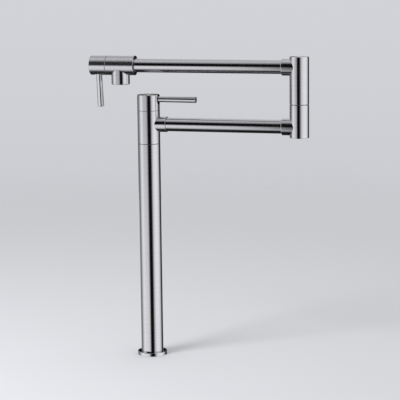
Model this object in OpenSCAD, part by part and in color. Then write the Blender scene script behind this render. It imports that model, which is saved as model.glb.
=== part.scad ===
// Deck-mounted pot filler with two swivelling arms and a quarter-turn valve at each end.
// Millimetres. +Z is up, the deck surface is z = 0 and the column stands on the Z axis.
// The arms lie along X, folded one above the other, with the spout back over the column.

/* [Column and base] */
// Height of the top of the column above the deck
column_h = 433.4; // [300:0.1:600]
// Diameter of the column, the swivel tee and the main handle cap
column_d = 45; // [42:0.5:52]
// Wall of the column tube
column_wall = 2; // [1.5:0.1:3]
// Diameter of the base flange
flange_d = 60; // [58:0.5:80]
// Thickness of the base flange
flange_t = 7; // [6:0.1:12]
// Height of the ledge in the flange that the column stands on
flange_seat = 3; // [2.5:0.1:4]
// Broken edge at the top of the flange
flange_edge = 1; // [0.4:0.1:2]
// Inner diameter of the gasket groove under the flange
gasket_in_d = 48; // [46:0.5:50]
// Radial width of the gasket
gasket_w = 3.4; // [2:0.1:4]
// Depth of the gasket groove
gasket_t = 2.4; // [1.5:0.1:2.4]

/* [Below the deck] */
// Diameter of the threaded shank
shank_d = 32; // [30:0.5:34]
// Length of the shank below the deck
shank_l = 62; // [56:1:90]
// Water way through the shank, clear round the riser
shank_bore_d = 14; // [13:0.5:16]
// Length of the plug that holds the shank in the column
shank_plug_l = 22; // [10:1:60]
// Thickness of the deck between the flange and the washers
deck_t = 30; // [5:1:40]
// Diameter of the rubber and steel washers
clamp_washer_d = 54; // [48:1:70]
// Thickness of the rubber washer
rubber_washer_t = 3; // [1.5:0.5:4]
// Thickness of the steel washer
steel_washer_t = 2; // [1:0.5:3]
// Width of the mounting nut across its flats
nut_af = 46; // [42:1:60]
// Height of the mounting nut
nut_h = 10; // [6:0.5:10]
// Diameter of the threaded inlet, G 1/2
inlet_d = 20.96; // [18:0.01:21]
// Length of the threaded inlet
inlet_l = 14; // [10:0.5:25]
// Width of the inlet hexagon across its flats
inlet_hex_af = 26; // [25:0.5:27]
// Height of the inlet hexagon
inlet_hex_h = 5; // [3:0.5:10]
// Diameter of the spigot that screws into the shank
spigot_d = 22; // [21:0.5:23]
// Length of that spigot
spigot_l = 13; // [11:0.5:20]
// Outer diameter of the riser pipe inside the column
riser_d = 12; // [10:0.5:12]
// Wall of the riser pipe
riser_wall = 1; // [0.6:0.1:1.5]
// How far the riser goes into the inlet and into the swivel post
riser_seat = 10; // [8:0.5:10]

/* [Swivel tee] */
// Height of the tee
tee_h = 65.8; // [64:0.1:90]
// Height of the branch above the bottom of the tee
branch_up = 38.3; // [36:0.1:42]
// Diameter of the branch
branch_d = 31.2; // [30:0.1:34]
// Reach of the branch from the axis of the tee
branch_reach = 38.5; // [35:0.5:60]

/* [Elbow] */
// Diameter of both halves of the elbow
elbow_d = 38; // [36:0.5:46]
// Height of the lower half
lower_elbow_h = 65.1; // [60:0.1:120]
// Height of the upper half
upper_elbow_h = 92.6; // [75:0.1:160]
// Height of the lower arm above the foot of the elbow
elbow_below = 21; // [18:0.1:26]
// Depth of the upper arm below the top of the elbow
elbow_above = 20.5; // [18:0.5:26]
// Diameter of the elbow's two sockets
socket_d = 33.6; // [31:0.1:36]
// Reach of the sockets from the axis of the elbow
socket_reach = 34.2; // [32:0.1:60]
// Diameter of the water way inside the elbow
elbow_bore_d = 18; // [14:0.5:20]
// Floor and roof that close the water way
elbow_floor = 5; // [3:0.5:8]

/* [Arms] */
// Distance from the column to the elbow
lower_arm_reach = 309; // [200:1:450]
// Distance from the elbow to the spout
upper_arm_reach = 366.8; // [230:0.1:520]
// Outer diameter of the arm tubes
arm_d = 27.6; // [24:0.1:28]
// Wall of the arm tubes
arm_wall = 3.5; // [3:0.1:4.5]
// Step from the tube down to its threaded nose
nose_step = 2; // [1.5:0.1:2.2]
// Length of the threaded nose
nose_l = 10; // [6:0.5:10]
// Length of tube that a socket covers
socket_cover = 6.5; // [4:0.5:7]
// Diameter of the water ways that lead to the arms
way_d = 14; // [10:0.5:14]

/* [Spout head] */
// Diameter of the head and of its handle cap
head_d = 39.6; // [37:0.1:46]
// Length of the head from the spout to the arm
head_front = 31.3; // [30:0.1:50]
// Length of the head from the spout to its handle
head_back = 27.2; // [27:0.1:30]
// Diameter of the spout
spout_d = 36.7; // [32:0.1:37]
// Depth of the spout's mouth below the axis of the head
spout_drop = 38; // [36:0.5:60]
// Diameter of the aerator thread, M24
aerator_d = 24; // [22:0.1:24]
// Height of the aerator
aerator_h = 10; // [8:0.5:12]
// Wall of the aerator housing
aerator_wall = 2; // [1.5:0.1:2.5]
// How far the aerator lies inside the spout
aerator_recess = 0.8; // [0:0.1:2]
// Thickness of the aerator's sealing washer
aerator_seal_t = 1.4; // [1:0.1:2]
// Diameter of the throat above the aerator
throat_d = 16; // [14:0.5:18]
// Height of the throat
throat_h = 5.5; // [4:0.5:6]
// Diameter of the port from the valve down to the throat
port_d = 8; // [6:0.5:9]

/* [Handles] */
// Height of the main handle cap
main_cap_h = 31; // [28:0.1:40]
// Length of the spout handle cap
spout_cap_h = 33.5; // [28:0.1:40]
// Diameter of the hollow under the caps
cap_hollow_d = 26; // [20:0.5:28]
// Gap between a cap and the body that it turns on
seam_gap = 0.5; // [0.3:0.1:1]
// Broken edge at the outer end of the caps
cap_edge = 0.8; // [0.3:0.1:2]
// Diameter of the flat that each lever stands on
lever_seat_d = 21; // [18:0.5:22]
// Height of the main lever above the bottom of its cap
main_lever_at = 22; // [15:0.1:22]
// Place of the spout lever along its cap
spout_lever_at = 18.5; // [14:0.1:20]
// Reach of the main lever from the axis of its cap
main_lever_reach = 99.2; // [60:0.1:130]
// Reach of the spout lever from the axis of its cap
spout_lever_reach = 84.5; // [60:0.5:130]
// Angle at which the closed spout lever hangs behind the vertical
spout_lever_lean = 6; // [0:1:15]
// Diameter of a lever where it enters the cap
lever_root_d = 11.4; // [10:0.1:12]
// Diameter of a lever at its tip
lever_tip_d = 12.5; // [11:0.1:15]
// Broken edge at the tip
lever_edge = 0.7; // [0.2:0.1:2]
// Diameter of the lever's threaded stud
stud_d = 8; // [6:0.5:9]
// Distance of the stud's inner end from the axis of the cap
stud_in = 6.5; // [6:0.5:7.5]
// Diameter of the set screw
set_screw_d = 5; // [4:0.5:6]
// Length of the set screw
set_screw_l = 8; // [5:0.5:10]
// Hexagon socket in the set screw, across its flats
set_screw_af = 2.5; // [2:0.1:3]

/* [Ceramic valves] */
// Depth of the valve seat below the end of its body
seat_depth = 35.5; // [35:0.5:36]
// Diameter of the valve's thread, G 1/2
valve_thread_d = 20.9; // [20:0.1:22]
// Length of the valve's thread
valve_thread_l = 9; // [6:0.5:10]
// Diameter of the sleeve that holds the discs
sleeve_d = 18.5; // [18:0.1:19.4]
// Width of the valve's hexagon across its flats
valve_hex_af = 24; // [23:0.5:25]
// Height of the valve's hexagon
valve_hex_h = 4.5; // [3:0.5:5]
// Diameter of the pocket round the hexagon
hex_pocket_d = 30; // [29:0.5:31]
// Diameter of the ceramic discs
disc_d = 15.5; // [14:0.1:16]
// Thickness of each ceramic disc
disc_t = 3; // [2:0.1:3.2]
// Diameter across the two openings of the discs
disc_port_d = 10.4; // [8:0.1:11]
// Angle that each opening of the discs takes up
disc_port_angle = 76; // [50:1:84]
// Thickness of the rubber ring under the discs
seat_seal_t = 2; // [1.5:0.1:2.5]
// Width of the two side windows
window_w = 10; // [6:0.5:12]
// Height of the side windows
window_h = 3.6; // [2:0.1:4]
// Diameter of the spindle inside the valve
stem_d = 10; // [9:0.1:11]
// Diameter of the spindle's end, which the cap fits
spindle_d = 8; // [6:0.1:8.5]
// Width of the bar that turns the upper disc
driver_w = 6; // [4:0.5:8]
// Depth of the bar's two lugs in the rim of the upper disc
lug_h = 1.5; // [0.5:0.1:1.8]
// Length of spindle inside the cap's hub
spindle_hold = 9; // [8:0.5:14]
// Depth of the hollow in the cap
cap_hollow = 8; // [6:0.5:8]
// Diameter of the valve's water way
seat_port_d = 10; // [8:0.1:10.5]

/* [Swivel joints] */
// Diameter of the journal in the tee
base_journal_d = 30; // [28:0.5:34]
// Diameter of the journal in the elbow
elbow_journal_d = 22; // [20:0.5:24]
// Length of both journals
journal_l = 26; // [22:0.5:26.5]
// Length of the plug that holds each journal
plug_l = 22; // [20:0.5:30]
// Diameter of the threaded plug in the lower elbow
elbow_plug_d = 26; // [24:0.5:28]
// Thickness of the thrust washers in the seams
thrust_t = 0.8; // [0.4:0.1:2]
// How far the thrust washers lie inside the surface
thrust_inset = 0.7; // [0.3:0.1:2]
// Height of the lower seal on a journal
seal_low = 7; // [5:0.5:8]
// Height of the upper seal on a journal
seal_high = 20; // [18:0.5:21]
// Height of the retaining ring on a journal
ring_at = 12.5; // [11:0.5:15]
// Thickness of the retaining rings
ring_t = 1.4; // [1:0.1:2]
// How far the retaining rings reach into the journal, and out of it
ring_bite = 1.5; // [1:0.1:2]
// Opening of the split retaining rings
ring_split = 7; // [3:0.5:10]

/* [Seals and fits] */
// Section of the large O-rings
seal_section = 2.2; // [1.5:0.1:2.5]
// Section of the O-rings on the spindles
stem_seal_section = 1.5; // [1:0.1:2]
// Radial clearance of every turning and screwed fit
fit = 0.05; // [0.02:0.01:0.1]
// Clearance round washers and gaskets
loose = 0.3; // [0.2:0.1:0.5]

/* [Hidden] */
$fn = 96;
over = 1;
hex_corner = 1 / cos(30);

tee_z = column_h + thrust_t;
tee_top = tee_z + tee_h;
lower_arm_z = tee_z + branch_up;
main_seat_z = tee_top - seat_depth;

elbow_z = lower_arm_z - elbow_below;
elbow_split = elbow_z + lower_elbow_h;
upper_elbow_z = elbow_split + thrust_t;
elbow_top = upper_elbow_z + upper_elbow_h;
upper_arm_z = elbow_top - elbow_above;

spout_x = lower_arm_reach - upper_arm_reach;
head_mouth_x = spout_x + head_front;
head_end_x = spout_x - head_back;
spout_seat_x = head_end_x + seat_depth;
elbow_mouth_x = lower_arm_reach - socket_reach;

nose_d = arm_d - 2 * nose_step;
socket_seal_room = nose_step + 2 * fit;
thread_depth = socket_cover + nose_l;
valve_thread_s = seat_depth - valve_hex_h - loose - valve_thread_l;
valve_hex_s = valve_thread_s + valve_thread_l;
valve_top_s = valve_hex_s + valve_hex_h;
cap_s = seat_depth + seam_gap;
hub_s = cap_s + cap_hollow;
spindle_top_s = hub_s + spindle_hold;
fixed_disc_s = seat_seal_t + fit;
turning_disc_s = fixed_disc_s + disc_t + fit;
driver_s = turning_disc_s + disc_t + fit;
window_s = driver_s + fit;
driver_h = window_h + 2 * fit;
disc_bore_top_s = driver_s + driver_h + fit;
stem_seal_low_s = disc_bore_top_s + 5;
stem_seal_high_s = disc_bore_top_s + 11;
clip_t = 0.8;
clip_out_d = stem_d + 2.5;
clip_bite = 0.6;
set_screw_s = hub_s + spindle_hold / 2;
driver_inset = 0.3;
lug_in_d = disc_port_d + 1.6;
lever_seat_sink = 0.15;
bore_end_gap = thrust_t;
journal_edge = 0.6;
seam_edge = 0.3;
socket_edge = 1.2;
sleeve_lift = 0.8;
port_s = window_s + window_h / 2 - 2;
gasket_out_d = gasket_in_d + 2 * gasket_w;
column_bore_d = column_d - 2 * column_wall;
grille_rings = 3;
grille_pitch = 2.9;
grille_hole_d = 1.7;
grille_t = 2;
key_slot_w = 3;
key_slot_h = 1.5;

// Colours of the materials
steel = [0.72, 0.72, 0.74];
bright_steel = [0.8, 0.8, 0.82];
brass = [0.78, 0.64, 0.36];
rubber = [0.08, 0.08, 0.09];
acetal = [0.16, 0.16, 0.17];
white_ceramic = [0.93, 0.92, 0.88];
copper = [0.76, 0.47, 0.33];
grille_grey = [0.55, 0.57, 0.6];

// Round bar from z = 0 with its two rims broken at 45 degrees
module turned(d, h, low_edge = 0, high_edge = 0) {
    r = d / 2;
    rotate_extrude()
        polygon([[0, 0], [r - low_edge, 0], [r, low_edge], [r, h - high_edge], [r - high_edge, h], [0, h]]);
}

// Round hole from z = low to z = high
module hole(d, low, high) {
    translate([0, 0, low]) cylinder(d = d, h = high - low);
}

// Flat ring from z = 0
module ring(out_d, in_d, h) {
    difference() {
        cylinder(d = out_d, h = h);
        hole(in_d, -over, h + over);
    }
}

// Hexagonal bar from z = 0
module hexagon(af, h) {
    cylinder(d = af * hex_corner, h = h, $fn = 6);
}

// O-ring round a diameter, centred on z = 0
module o_ring(in_d, section) {
    rotate_extrude() translate([in_d / 2 + section / 2, 0]) circle(d = section);
}

// Groove cut into a shaft, from z = 0
module groove(shaft_d, bottom_d, h) {
    ring(shaft_d + over, bottom_d, h);
}

// Ring with a slit, which springs into its groove
module split_ring(out_d, in_d, h, slit) {
    difference() {
        ring(out_d, in_d, h);
        translate([0, -slit / 2, -over]) cube([out_d, slit, h + 2 * over]);
    }
}

// Places: +Z of the child is the outward way of each valve, or the inward way of each socket
module at_main_valve() { translate([0, 0, main_seat_z]) children(); }
module at_spout_valve() { translate([spout_seat_x, 0, upper_arm_z]) rotate([0, -90, 0]) children(); }
module at_tee_socket() { translate([branch_reach, 0, lower_arm_z]) rotate([0, -90, 0]) children(); }
module at_head_socket() { translate([head_mouth_x, 0, upper_arm_z]) rotate([0, -90, 0]) children(); }
module at_lower_elbow_socket() { translate([elbow_mouth_x, 0, lower_arm_z]) rotate([0, 90, 0]) children(); }
module at_upper_elbow_socket() { translate([elbow_mouth_x, 0, upper_arm_z]) rotate([0, 90, 0]) children(); }
module at_base_swivel() { translate([0, 0, column_h]) children(); }
module at_elbow_swivel() { translate([lower_arm_reach, 0, elbow_split]) children(); }

// Sockets and tubes of the arms
module socket_cut(way_l) {
    hole(arm_d + 2 * fit, -over, socket_cover + socket_seal_room);
    hole(nose_d + 2 * fit, 0, thread_depth + loose);
    hole(way_d, 0, thread_depth + way_l);
}

module socket_seal() {
    translate([0, 0, socket_cover + socket_seal_room / 2]) o_ring(nose_d, nose_step);
}

module arm_tube(from_x, to_x, z) {
    full_l = to_x - from_x;
    translate([from_x, 0, z]) rotate([0, 90, 0]) difference() {
        union() {
            cylinder(d = arm_d, h = full_l);
            translate([0, 0, -nose_l]) turned(nose_d, full_l + 2 * nose_l, journal_edge, journal_edge);
        }
        hole(arm_d - 2 * arm_wall, -nose_l - over, full_l + nose_l + over);
    }
}

// Swivel joints: z = 0 is the top of the fixed half
module swivel_post(journal_d, plug_d, plug_l) {
    difference() {
        union() {
            turned(journal_d, journal_l, 0, journal_edge);
            translate([0, 0, -plug_l]) turned(plug_d, plug_l, journal_edge, 0);
        }
        hole(seat_port_d, -plug_l - over, journal_l + over);
        for (at = [seal_low, seal_high])
            translate([0, 0, at - seal_section / 2])
                groove(journal_d, journal_d - 2 * seal_section, seal_section);
        translate([0, 0, ring_at]) groove(journal_d, journal_d - 2 * ring_bite - 2 * fit, ring_t + 2 * fit);
    }
}

module swivel_seals(journal_d) {
    for (at = [seal_low, seal_high])
        translate([0, 0, at]) o_ring(journal_d - 2 * seal_section, seal_section);
}

module swivel_ring(journal_d) {
    translate([0, 0, ring_at + fit])
        split_ring(journal_d + 2 * ring_bite, journal_d - 2 * ring_bite, ring_t, ring_split);
}

module swivel_bore(journal_d) {
    hole(journal_d + 2 * fit, thrust_t - over, journal_l + bore_end_gap);
    hole(journal_d + 2 * ring_bite + 2 * loose, ring_at - loose, ring_at + ring_t + loose);
}

module thrust_washer(body_d, journal_d) {
    ring(body_d - 2 * thrust_inset, journal_d + 2 * loose, thrust_t);
}

// Ceramic valve: z = 0 is the seat, and the handle is up
module valve_pocket() {
    hole(valve_thread_d + 2 * fit, 0, valve_hex_s + over);
    hole(valve_thread_d + 2 * seal_section, valve_hex_s - seal_section, valve_hex_s + over);
    hole(hex_pocket_d, valve_hex_s, seat_depth + over);
}

module valve_body() {
    difference() {
        union() {
            translate([0, 0, sleeve_lift]) cylinder(d = sleeve_d, h = valve_thread_s);
            translate([0, 0, valve_thread_s]) cylinder(d = valve_thread_d, h = valve_thread_l);
            translate([0, 0, valve_hex_s]) hexagon(valve_hex_af, valve_hex_h);
        }
        hole(disc_d + 2 * fit, sleeve_lift - over, disc_bore_top_s);
        hole(stem_d + 2 * fit, 0, valve_top_s + over);
        translate([-sleeve_d, -window_w / 2, window_s]) cube([2 * sleeve_d, window_w, window_h]);
    }
}

module valve_seal() {
    translate([0, 0, valve_hex_s - seal_section / 2])
        o_ring(valve_thread_d + 2 * fit, seal_section - 2 * fit);
}

module seat_seal() {
    ring(disc_d, seat_port_d + 2 * loose, seat_seal_t);
}

module ceramic_disc() {
    far_x = disc_d;
    far_y = far_x * tan(disc_port_angle / 2);
    difference() {
        cylinder(d = disc_d, h = disc_t);
        intersection() {
            hole(disc_port_d, -over, disc_t + over);
            for (side = [-1, 1])
                translate([0, 0, -2 * over]) linear_extrude(disc_t + 4 * over)
                    polygon([[side, 0], [side * far_x, far_y], [side * far_x, -far_y]]);
        }
    }
}

// What lies on the rim of the upper disc: lugs of the bar, or the notches that they fit
module disc_lugs(w, out_d, in_d, low, high) {
    intersection() {
        difference() {
            hole(out_d, low, high);
            hole(in_d, low - over, high + over);
        }
        translate([-disc_d, -w / 2, low - over]) cube([2 * disc_d, w, high - low + 2 * over]);
    }
}

module fixed_disc() {
    translate([0, 0, fixed_disc_s]) ceramic_disc();
}

module turning_disc() {
    notch_s = driver_s - lug_h - 2 * fit;
    difference() {
        translate([0, 0, turning_disc_s]) rotate([0, 0, 90]) ceramic_disc();
        disc_lugs(driver_w + 2 * fit, disc_d + over, lug_in_d - 2 * fit, notch_s, driver_s + over);
    }
}

module spindle() {
    difference() {
        union() {
            translate([0, 0, driver_s]) intersection() {
                cylinder(d = disc_d - 2 * driver_inset, h = driver_h);
                translate([-disc_d, -driver_w / 2, 0]) cube([2 * disc_d, driver_w, driver_h]);
            }
            disc_lugs(driver_w, disc_d - 2 * driver_inset, lug_in_d, driver_s - lug_h, driver_s + fit);
            hole(stem_d, driver_s, valve_top_s);
            translate([0, 0, driver_s]) turned(spindle_d, spindle_top_s - driver_s, 0, journal_edge);
        }
        for (at = [stem_seal_low_s, stem_seal_high_s])
            translate([0, 0, at - stem_seal_section / 2])
                groove(stem_d, stem_d - 2 * stem_seal_section, stem_seal_section);
        translate([0, 0, valve_top_s + fit]) groove(stem_d, spindle_d - 2 * clip_bite, clip_t + fit);
    }
}

module stem_seals() {
    for (at = [stem_seal_low_s, stem_seal_high_s])
        translate([0, 0, at]) o_ring(stem_d - 2 * stem_seal_section, stem_seal_section);
}

module spindle_clip() {
    translate([0, 0, valve_top_s + fit])
        split_ring(clip_out_d, spindle_d - 2 * clip_bite + 2 * fit, clip_t, spindle_d / 2);
}

// Handles: z = 0 is the valve's seat, and the lever points along +X
function lever_seat_r(cap_d) = sqrt(pow(cap_d / 2, 2) - pow(lever_seat_d / 2, 2)) - lever_seat_sink;

module lever_place(at) { translate([0, 0, cap_s + at]) rotate([0, 90, 0]) children(); }
module set_screw_place(side) { translate([0, 0, set_screw_s]) rotate([-90 * side, 0, 0]) children(); }

module handle_cap(cap_d, cap_h, lever_at, screw_side) {
    difference() {
        translate([0, 0, cap_s]) turned(cap_d, cap_h, seam_edge, cap_edge);
        hole(cap_hollow_d, cap_s - over, hub_s);
        hole(spindle_d + 2 * fit, cap_s, spindle_top_s + loose);
        lever_place(lever_at) {
            hole(lever_seat_d, lever_seat_r(cap_d), cap_d);
            hole(stud_d + 2 * fit, stud_in - loose, cap_d / 2);
        }
        set_screw_place(screw_side) hole(set_screw_d + 2 * fit, 0, cap_d);
    }
}

module lever(cap_d, lever_at, reach) {
    root = lever_seat_r(cap_d) + fit;
    lever_place(lever_at) rotate_extrude() polygon([
        [0, stud_in], [stud_d / 2, stud_in], [stud_d / 2, root], [lever_root_d / 2, root],
        [lever_tip_d / 2, reach - lever_edge], [lever_tip_d / 2 - lever_edge, reach], [0, reach]
    ]);
}

module set_screw(side) {
    set_screw_place(side) translate([0, 0, spindle_d / 2 + fit]) difference() {
        turned(set_screw_d, set_screw_l, journal_edge, journal_edge);
        translate([0, 0, set_screw_l / 2]) hexagon(set_screw_af, set_screw_l);
    }
}

// Column and base
module base_flange() {
    color(steel) difference() {
        turned(flange_d, flange_t, 0, flange_edge);
        hole(column_d + 2 * fit, flange_seat, flange_t + over);
        hole(shank_d + 2 * loose, -over, flange_t);
        translate([0, 0, -over]) ring(gasket_out_d + 2 * fit, gasket_in_d - 2 * fit, gasket_t + over);
    }
}

module base_gasket() {
    color(rubber) ring(gasket_out_d, gasket_in_d, gasket_t);
}

module column_tube() {
    color(steel) translate([0, 0, flange_seat]) ring(column_d, column_bore_d, column_h - flange_seat);
}

module mounting_shank() {
    color(brass) difference() {
        union() {
            translate([0, 0, -shank_l]) turned(shank_d, shank_l + flange_seat + over, over, 0);
            translate([0, 0, flange_seat]) turned(column_bore_d - 2 * fit, shank_plug_l, 0, over);
        }
        hole(shank_bore_d, -shank_l - over, flange_seat + shank_plug_l + over);
        hole(spigot_d + 2 * fit, -shank_l - over, spigot_l + loose - shank_l);
    }
}

module at_inlet() { translate([0, 0, -shank_l]) children(); }

module inlet_connector() {
    hex_z = -inlet_hex_h - seal_section;
    color(brass) at_inlet() difference() {
        union() {
            hole(spigot_d, hex_z, spigot_l);
            translate([0, 0, hex_z]) hexagon(inlet_hex_af, inlet_hex_h);
            translate([0, 0, hex_z - inlet_l]) turned(inlet_d, inlet_l + over, over, 0);
        }
        hole(riser_d - 2 * riser_wall, hex_z - inlet_l - over, spigot_l + over);
        hole(riser_d + 2 * fit, spigot_l - riser_seat - loose, spigot_l + over);
        hole(riser_d + 2 * seal_section, spigot_l - riser_seat / 2 - seal_section / 2,
             spigot_l - riser_seat / 2 + seal_section / 2);
    }
}

module inlet_seal() {
    color(rubber) at_inlet() translate([0, 0, -seal_section / 2]) o_ring(spigot_d, seal_section - 2 * fit);
}

riser_z = spigot_l - riser_seat - shank_l;
riser_top = column_h - plug_l + riser_seat;

module riser_pipe() {
    color(copper) translate([0, 0, riser_z]) ring(riser_d, riser_d - 2 * riser_wall, riser_top - riser_z);
}

module riser_seals() {
    color(rubber) for (at = [riser_z + riser_seat / 2, riser_top - riser_seat / 2])
        translate([0, 0, at]) o_ring(riser_d, seal_section);
}

module base_swivel_post() {
    color(brass) at_base_swivel() difference() {
        swivel_post(base_journal_d, column_bore_d - 2 * fit, plug_l);
        hole(riser_d + 2 * fit, -plug_l - over, riser_seat + loose - plug_l);
        hole(riser_d + 2 * seal_section, riser_seat / 2 - seal_section / 2 - plug_l,
             riser_seat / 2 + seal_section / 2 - plug_l);
    }
}

module base_swivel_seals() { color(rubber) at_base_swivel() swivel_seals(base_journal_d); }
module base_retaining_ring() { color(acetal) at_base_swivel() swivel_ring(base_journal_d); }
module base_thrust_washer() { color(acetal) at_base_swivel() thrust_washer(column_d, base_journal_d); }

// Clamp below the deck
module rubber_washer() {
    color(rubber) translate([0, 0, -deck_t - rubber_washer_t])
        ring(clamp_washer_d, shank_d + 2 * loose, rubber_washer_t);
}

module steel_washer() {
    color(bright_steel) translate([0, 0, -deck_t - rubber_washer_t - steel_washer_t])
        ring(clamp_washer_d, shank_d + 2 * loose, steel_washer_t);
}

module mounting_nut() {
    color(brass) translate([0, 0, -deck_t - rubber_washer_t - steel_washer_t - nut_h]) difference() {
        hexagon(nut_af, nut_h);
        hole(shank_d + 2 * fit, -over, nut_h + over);
    }
}

// Swivel tee and lower arm
module swivel_tee() {
    color(steel) difference() {
        union() {
            translate([0, 0, tee_z]) turned(column_d, tee_h, seam_edge, seam_edge);
            at_tee_socket() turned(branch_d, branch_reach, journal_edge, 0);
        }
        at_base_swivel() swivel_bore(base_journal_d);
        at_main_valve() {
            valve_pocket();
            hole(seat_port_d, column_h + journal_l - main_seat_z, over);
        }
        at_tee_socket() socket_cut(branch_reach - thread_depth - valve_thread_d / 2 + over);
    }
}

module lower_arm_tube() {
    color(steel) arm_tube(branch_reach - socket_cover, elbow_mouth_x + socket_cover, lower_arm_z);
}

module lower_arm_seals() {
    color(rubber) {
        at_tee_socket() socket_seal();
        at_lower_elbow_socket() socket_seal();
    }
}

module elbow_half(z, h, arm_z) {
    union() {
        translate([lower_arm_reach, 0, z]) turned(elbow_d, h, journal_edge, journal_edge);
        translate([elbow_mouth_x, 0, arm_z]) rotate([0, 90, 0])
            turned(socket_d, socket_reach, socket_edge, 0);
    }
}

module lower_elbow() {
    color(steel) difference() {
        elbow_half(elbow_z, lower_elbow_h, lower_arm_z);
        translate([lower_arm_reach, 0, 0]) {
            hole(elbow_bore_d, elbow_z + elbow_floor, elbow_split);
            hole(elbow_plug_d + 2 * fit, elbow_split - plug_l, elbow_split + over);
        }
        at_lower_elbow_socket() socket_cut(socket_reach - thread_depth);
    }
}

module elbow_swivel_post() {
    color(brass) at_elbow_swivel() swivel_post(elbow_journal_d, elbow_plug_d, plug_l);
}

module elbow_swivel_seals() { color(rubber) at_elbow_swivel() swivel_seals(elbow_journal_d); }
module elbow_retaining_ring() { color(acetal) at_elbow_swivel() swivel_ring(elbow_journal_d); }
module elbow_thrust_washer() { color(acetal) at_elbow_swivel() thrust_washer(elbow_d, elbow_journal_d); }

// Upper arm and spout head
module upper_elbow() {
    color(steel) difference() {
        elbow_half(upper_elbow_z, upper_elbow_h, upper_arm_z);
        at_elbow_swivel() swivel_bore(elbow_journal_d);
        translate([lower_arm_reach, 0, 0]) hole(elbow_bore_d, upper_elbow_z, elbow_top - elbow_floor);
        at_upper_elbow_socket() socket_cut(socket_reach - thread_depth);
    }
}

module upper_arm_tube() {
    color(steel) arm_tube(head_mouth_x - socket_cover, elbow_mouth_x + socket_cover, upper_arm_z);
}

module upper_arm_seals() {
    color(rubber) {
        at_head_socket() socket_seal();
        at_upper_elbow_socket() socket_seal();
    }
}

module at_spout() { translate([spout_x, 0, upper_arm_z - spout_drop]) children(); }

module spout_head() {
    throat_z = aerator_recess + aerator_h + aerator_seal_t;
    head_l = head_front + head_back;
    color(steel) difference() {
        union() {
            translate([head_mouth_x, 0, upper_arm_z]) rotate([0, -90, 0])
                turned(head_d, head_l, journal_edge, seam_edge);
            at_spout() turned(spout_d, spout_drop, journal_edge, 0);
        }
        at_head_socket() {
            socket_cut(0);
            hole(seat_port_d, 0, head_l - seat_depth + over);
        }
        at_spout_valve() {
            valve_pocket();
            translate([-spout_drop + throat_z + throat_h / 2, 0, port_s]) rotate([0, 90, 0])
                hole(port_d, 0, spout_drop - throat_z - throat_h / 2 - over);
        }
        at_spout() {
            hole(aerator_d + 2 * fit, -over, throat_z);
            hole(throat_d, 0, throat_z + throat_h);
        }
    }
}

module aerator_housing() {
    color(bright_steel) at_spout() translate([0, 0, aerator_recess]) difference() {
        cylinder(d = aerator_d, h = aerator_h);
        hole(aerator_d - 2 * aerator_wall, -over, aerator_h + over);
        for (turn = [0, 90])
            rotate([0, 0, turn]) translate([-aerator_d, -key_slot_w / 2, -over])
                cube([2 * aerator_d, key_slot_w, key_slot_h + over]);
    }
}

module aerator_insert() {
    color(grille_grey) at_spout() translate([0, 0, aerator_recess + key_slot_h]) difference() {
        cylinder(d = aerator_d - 2 * aerator_wall - 2 * fit, h = aerator_h - key_slot_h);
        hole(throat_d, grille_t, aerator_h);
        hole(grille_hole_d, -over, grille_t + over);
        for (row = [1 : grille_rings - 1], step = [0 : 6 * row - 1])
            rotate([0, 0, step * 60 / row]) translate([row * grille_pitch, 0, 0])
                hole(grille_hole_d, -over, grille_t + over);
    }
}

module aerator_seal() {
    color(rubber) at_spout() translate([0, 0, aerator_recess + aerator_h])
        ring(aerator_d - 2 * fit, throat_d, aerator_seal_t);
}

// The two valves and their handles
module spout_handle_turn() { at_spout_valve() rotate([0, 0, 180 - spout_lever_lean]) children(); }

module main_valve_body() { color(brass) at_main_valve() valve_body(); }
module main_valve_seal() { color(rubber) at_main_valve() valve_seal(); }
module main_seat_seal() { color(rubber) at_main_valve() seat_seal(); }
module main_fixed_disc() { color(white_ceramic) at_main_valve() fixed_disc(); }
module main_turning_disc() { color(white_ceramic) at_main_valve() turning_disc(); }
module main_spindle() { color(brass) at_main_valve() spindle(); }
module main_stem_seals() { color(rubber) at_main_valve() stem_seals(); }
module main_spindle_clip() { color(bright_steel) at_main_valve() spindle_clip(); }
module main_handle_cap() { color(steel) at_main_valve() handle_cap(column_d, main_cap_h, main_lever_at, 1); }
module main_lever() { color(steel) at_main_valve() lever(column_d, main_lever_at, main_lever_reach); }
module main_set_screw() { color(bright_steel) at_main_valve() set_screw(1); }

module spout_valve_body() { color(brass) at_spout_valve() valve_body(); }
module spout_valve_seal() { color(rubber) at_spout_valve() valve_seal(); }
module spout_seat_seal() { color(rubber) at_spout_valve() seat_seal(); }
module spout_fixed_disc() { color(white_ceramic) at_spout_valve() fixed_disc(); }
module spout_turning_disc() { color(white_ceramic) at_spout_valve() turning_disc(); }
module spout_spindle() { color(brass) at_spout_valve() spindle(); }
module spout_stem_seals() { color(rubber) at_spout_valve() stem_seals(); }
module spout_spindle_clip() { color(bright_steel) at_spout_valve() spindle_clip(); }
module spout_handle_cap() {
    color(steel) spout_handle_turn() handle_cap(head_d, spout_cap_h, spout_lever_at, -1);
}
module spout_lever() { color(steel) spout_handle_turn() lever(head_d, spout_lever_at, spout_lever_reach); }
module spout_set_screw() { color(bright_steel) spout_handle_turn() set_screw(-1); }

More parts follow.
